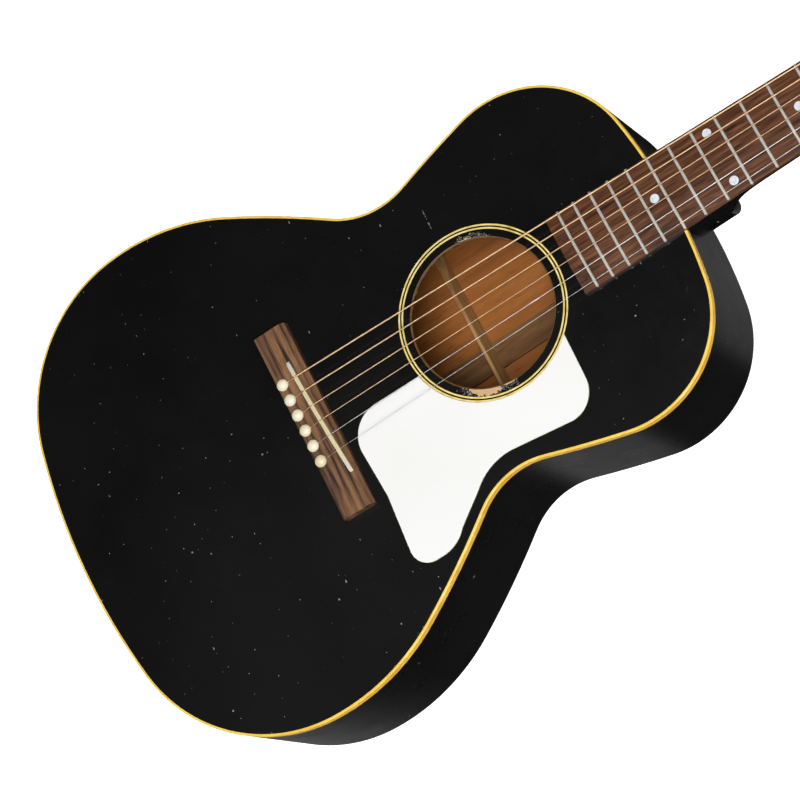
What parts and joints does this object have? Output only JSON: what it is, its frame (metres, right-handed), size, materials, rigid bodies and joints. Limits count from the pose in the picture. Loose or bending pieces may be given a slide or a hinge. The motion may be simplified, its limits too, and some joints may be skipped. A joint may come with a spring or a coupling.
{
  "type": "acoustic guitar",
  "caption": "Flat-top acoustic guitar with a small black body, round soundhole, white pickguard, fretted neck and geared tuners.",
  "frame": {"origin": "middle of the bottom face of the bounding box, with the guitar lying on its back", "axes": "+Z out of the soundboard towards the strings, +Y along the neck towards the headstock, +X towards the treble side"},
  "size_m": [0.3774, 1.0266, 0.1312],
  "materials": {
    "black_lacquer": "gloss",
    "mahogany": "satin",
    "spruce": "satin",
    "maple": "satin",
    "binding": "gloss",
    "ivoroid_guard": "gloss",
    "rosewood": "satin",
    "bone": "satin",
    "cream_plastic": "gloss",
    "nickel": "satin",
    "pearl": "gloss",
    "black_plastic": "gloss",
    "steel": "satin",
    "brass": "satin",
    "bronze": "satin"
  },
  "bodies": {
    "guitar": {"soundboard": "black_lacquer", "back_plate": "mahogany", "side_bass": "black_lacquer", "side_treble": "black_lacquer", "top_binding": "binding", "neck_block": "mahogany", "tail_block": "mahogany", "linings": "mahogany", "top_braces": "spruce", "bridge_plate": "maple", "back_braces": "spruce", "back_centre_strip": "spruce", "rosette": "binding", "pickguard": "ivoroid_guard", "bridge": "rosewood", "saddle": "bone", "bridge_pins": "cream_plastic", "end_pin": "cream_plastic", "neck": "black_lacquer", "fingerboard": "rosewood", "frets": "nickel", "position_dots": "pearl", "nut": "bone", "headstock_veneer": "black_plastic", "truss_rod": "steel", "truss_rod_cover": "black_plastic", "tuner_plates": "nickel", "tuner_bushings": "nickel", "headstock_screws": "nickel", "string_1": "bronze", "string_2": "bronze", "string_3": "bronze", "string_4": "bronze", "string_5": "steel", "string_6": "steel"},
    "knob_1": {"worm_shaft_1": "nickel", "tuner_button_1": "cream_plastic"},
    "knob_2": {"worm_shaft_2": "nickel", "tuner_button_2": "cream_plastic"},
    "knob_3": {"worm_shaft_3": "nickel", "tuner_button_3": "cream_plastic"},
    "knob_4": {"worm_shaft_4": "nickel", "tuner_button_4": "cream_plastic"},
    "knob_5": {"worm_shaft_5": "nickel", "tuner_button_5": "cream_plastic"},
    "knob_6": {"worm_shaft_6": "nickel", "tuner_button_6": "cream_plastic"},
    "post_1": {"string_post_1": "nickel", "tuner_gear_1": "brass"},
    "post_2": {"string_post_2": "nickel", "tuner_gear_2": "brass"},
    "post_3": {"string_post_3": "nickel", "tuner_gear_3": "brass"},
    "post_4": {"string_post_4": "nickel", "tuner_gear_4": "brass"},
    "post_5": {"string_post_5": "nickel", "tuner_gear_5": "brass"},
    "post_6": {"string_post_6": "nickel", "tuner_gear_6": "brass"},
    "rod_nut": {"truss_rod_nut": "brass"}
  },
  "joints": [
    {"name": "knob_1_turn", "type": "hinge", "parent": "guitar", "child": "knob_1", "pos_m": [-0.02159, 0.37593, 0.09011], "axis": [-0.9981, -0.0584, 0.0178], "continuous": true},
    {"name": "knob_2_turn", "type": "hinge", "parent": "guitar", "child": "knob_2", "pos_m": [-0.02397, 0.41316, 0.07873], "axis": [-0.9981, -0.0584, 0.0178], "continuous": true},
    {"name": "knob_3_turn", "type": "hinge", "parent": "guitar", "child": "knob_3", "pos_m": [-0.02635, 0.45038, 0.06735], "axis": [-0.9981, -0.0584, 0.0178], "continuous": true},
    {"name": "knob_4_turn", "type": "hinge", "parent": "guitar", "child": "knob_4", "pos_m": [0.02635, 0.45038, 0.06735], "axis": [0.9981, -0.0584, 0.0178], "continuous": true},
    {"name": "knob_5_turn", "type": "hinge", "parent": "guitar", "child": "knob_5", "pos_m": [0.02397, 0.41316, 0.07873], "axis": [0.9981, -0.0584, 0.0178], "continuous": true},
    {"name": "knob_6_turn", "type": "hinge", "parent": "guitar", "child": "knob_6", "pos_m": [0.02159, 0.37593, 0.09011], "axis": [0.9981, -0.0584, 0.0178], "continuous": true},
    {"name": "post_1_turn", "type": "hinge", "parent": "guitar", "child": "post_1", "pos_m": [-0.022, 0.38761, 0.10526], "axis": [0, 0.2924, 0.9563], "continuous": true},
    {"name": "post_2_turn", "type": "hinge", "parent": "guitar", "child": "post_2", "pos_m": [-0.02438, 0.42484, 0.09388], "axis": [0, 0.2924, 0.9563], "continuous": true},
    {"name": "post_3_turn", "type": "hinge", "parent": "guitar", "child": "post_3", "pos_m": [-0.02676, 0.46206, 0.0825], "axis": [0, 0.2924, 0.9563], "continuous": true},
    {"name": "post_4_turn", "type": "hinge", "parent": "guitar", "child": "post_4", "pos_m": [0.02676, 0.46206, 0.0825], "axis": [0, 0.2924, 0.9563], "continuous": true},
    {"name": "post_5_turn", "type": "hinge", "parent": "guitar", "child": "post_5", "pos_m": [0.02438, 0.42484, 0.09388], "axis": [0, 0.2924, 0.9563], "continuous": true},
    {"name": "post_6_turn", "type": "hinge", "parent": "guitar", "child": "post_6", "pos_m": [0.022, 0.38761, 0.10526], "axis": [0, 0.2924, 0.9563], "continuous": true},
    {"name": "rod_nut_turn", "type": "hinge", "parent": "guitar", "child": "rod_nut", "pos_m": [0, 0.35116, 0.1105], "axis": [0, 1, 0], "range_deg": [-180, 180]}
  ],
  "couplings": [
    {"joint": "post_1_turn", "follows": "knob_1_turn", "ratio": -0.071429},
    {"joint": "post_2_turn", "follows": "knob_2_turn", "ratio": -0.071429},
    {"joint": "post_3_turn", "follows": "knob_3_turn", "ratio": -0.071429},
    {"joint": "post_4_turn", "follows": "knob_4_turn", "ratio": -0.071429},
    {"joint": "post_5_turn", "follows": "knob_5_turn", "ratio": -0.071429},
    {"joint": "post_6_turn", "follows": "knob_6_turn", "ratio": -0.071429}
  ]
}
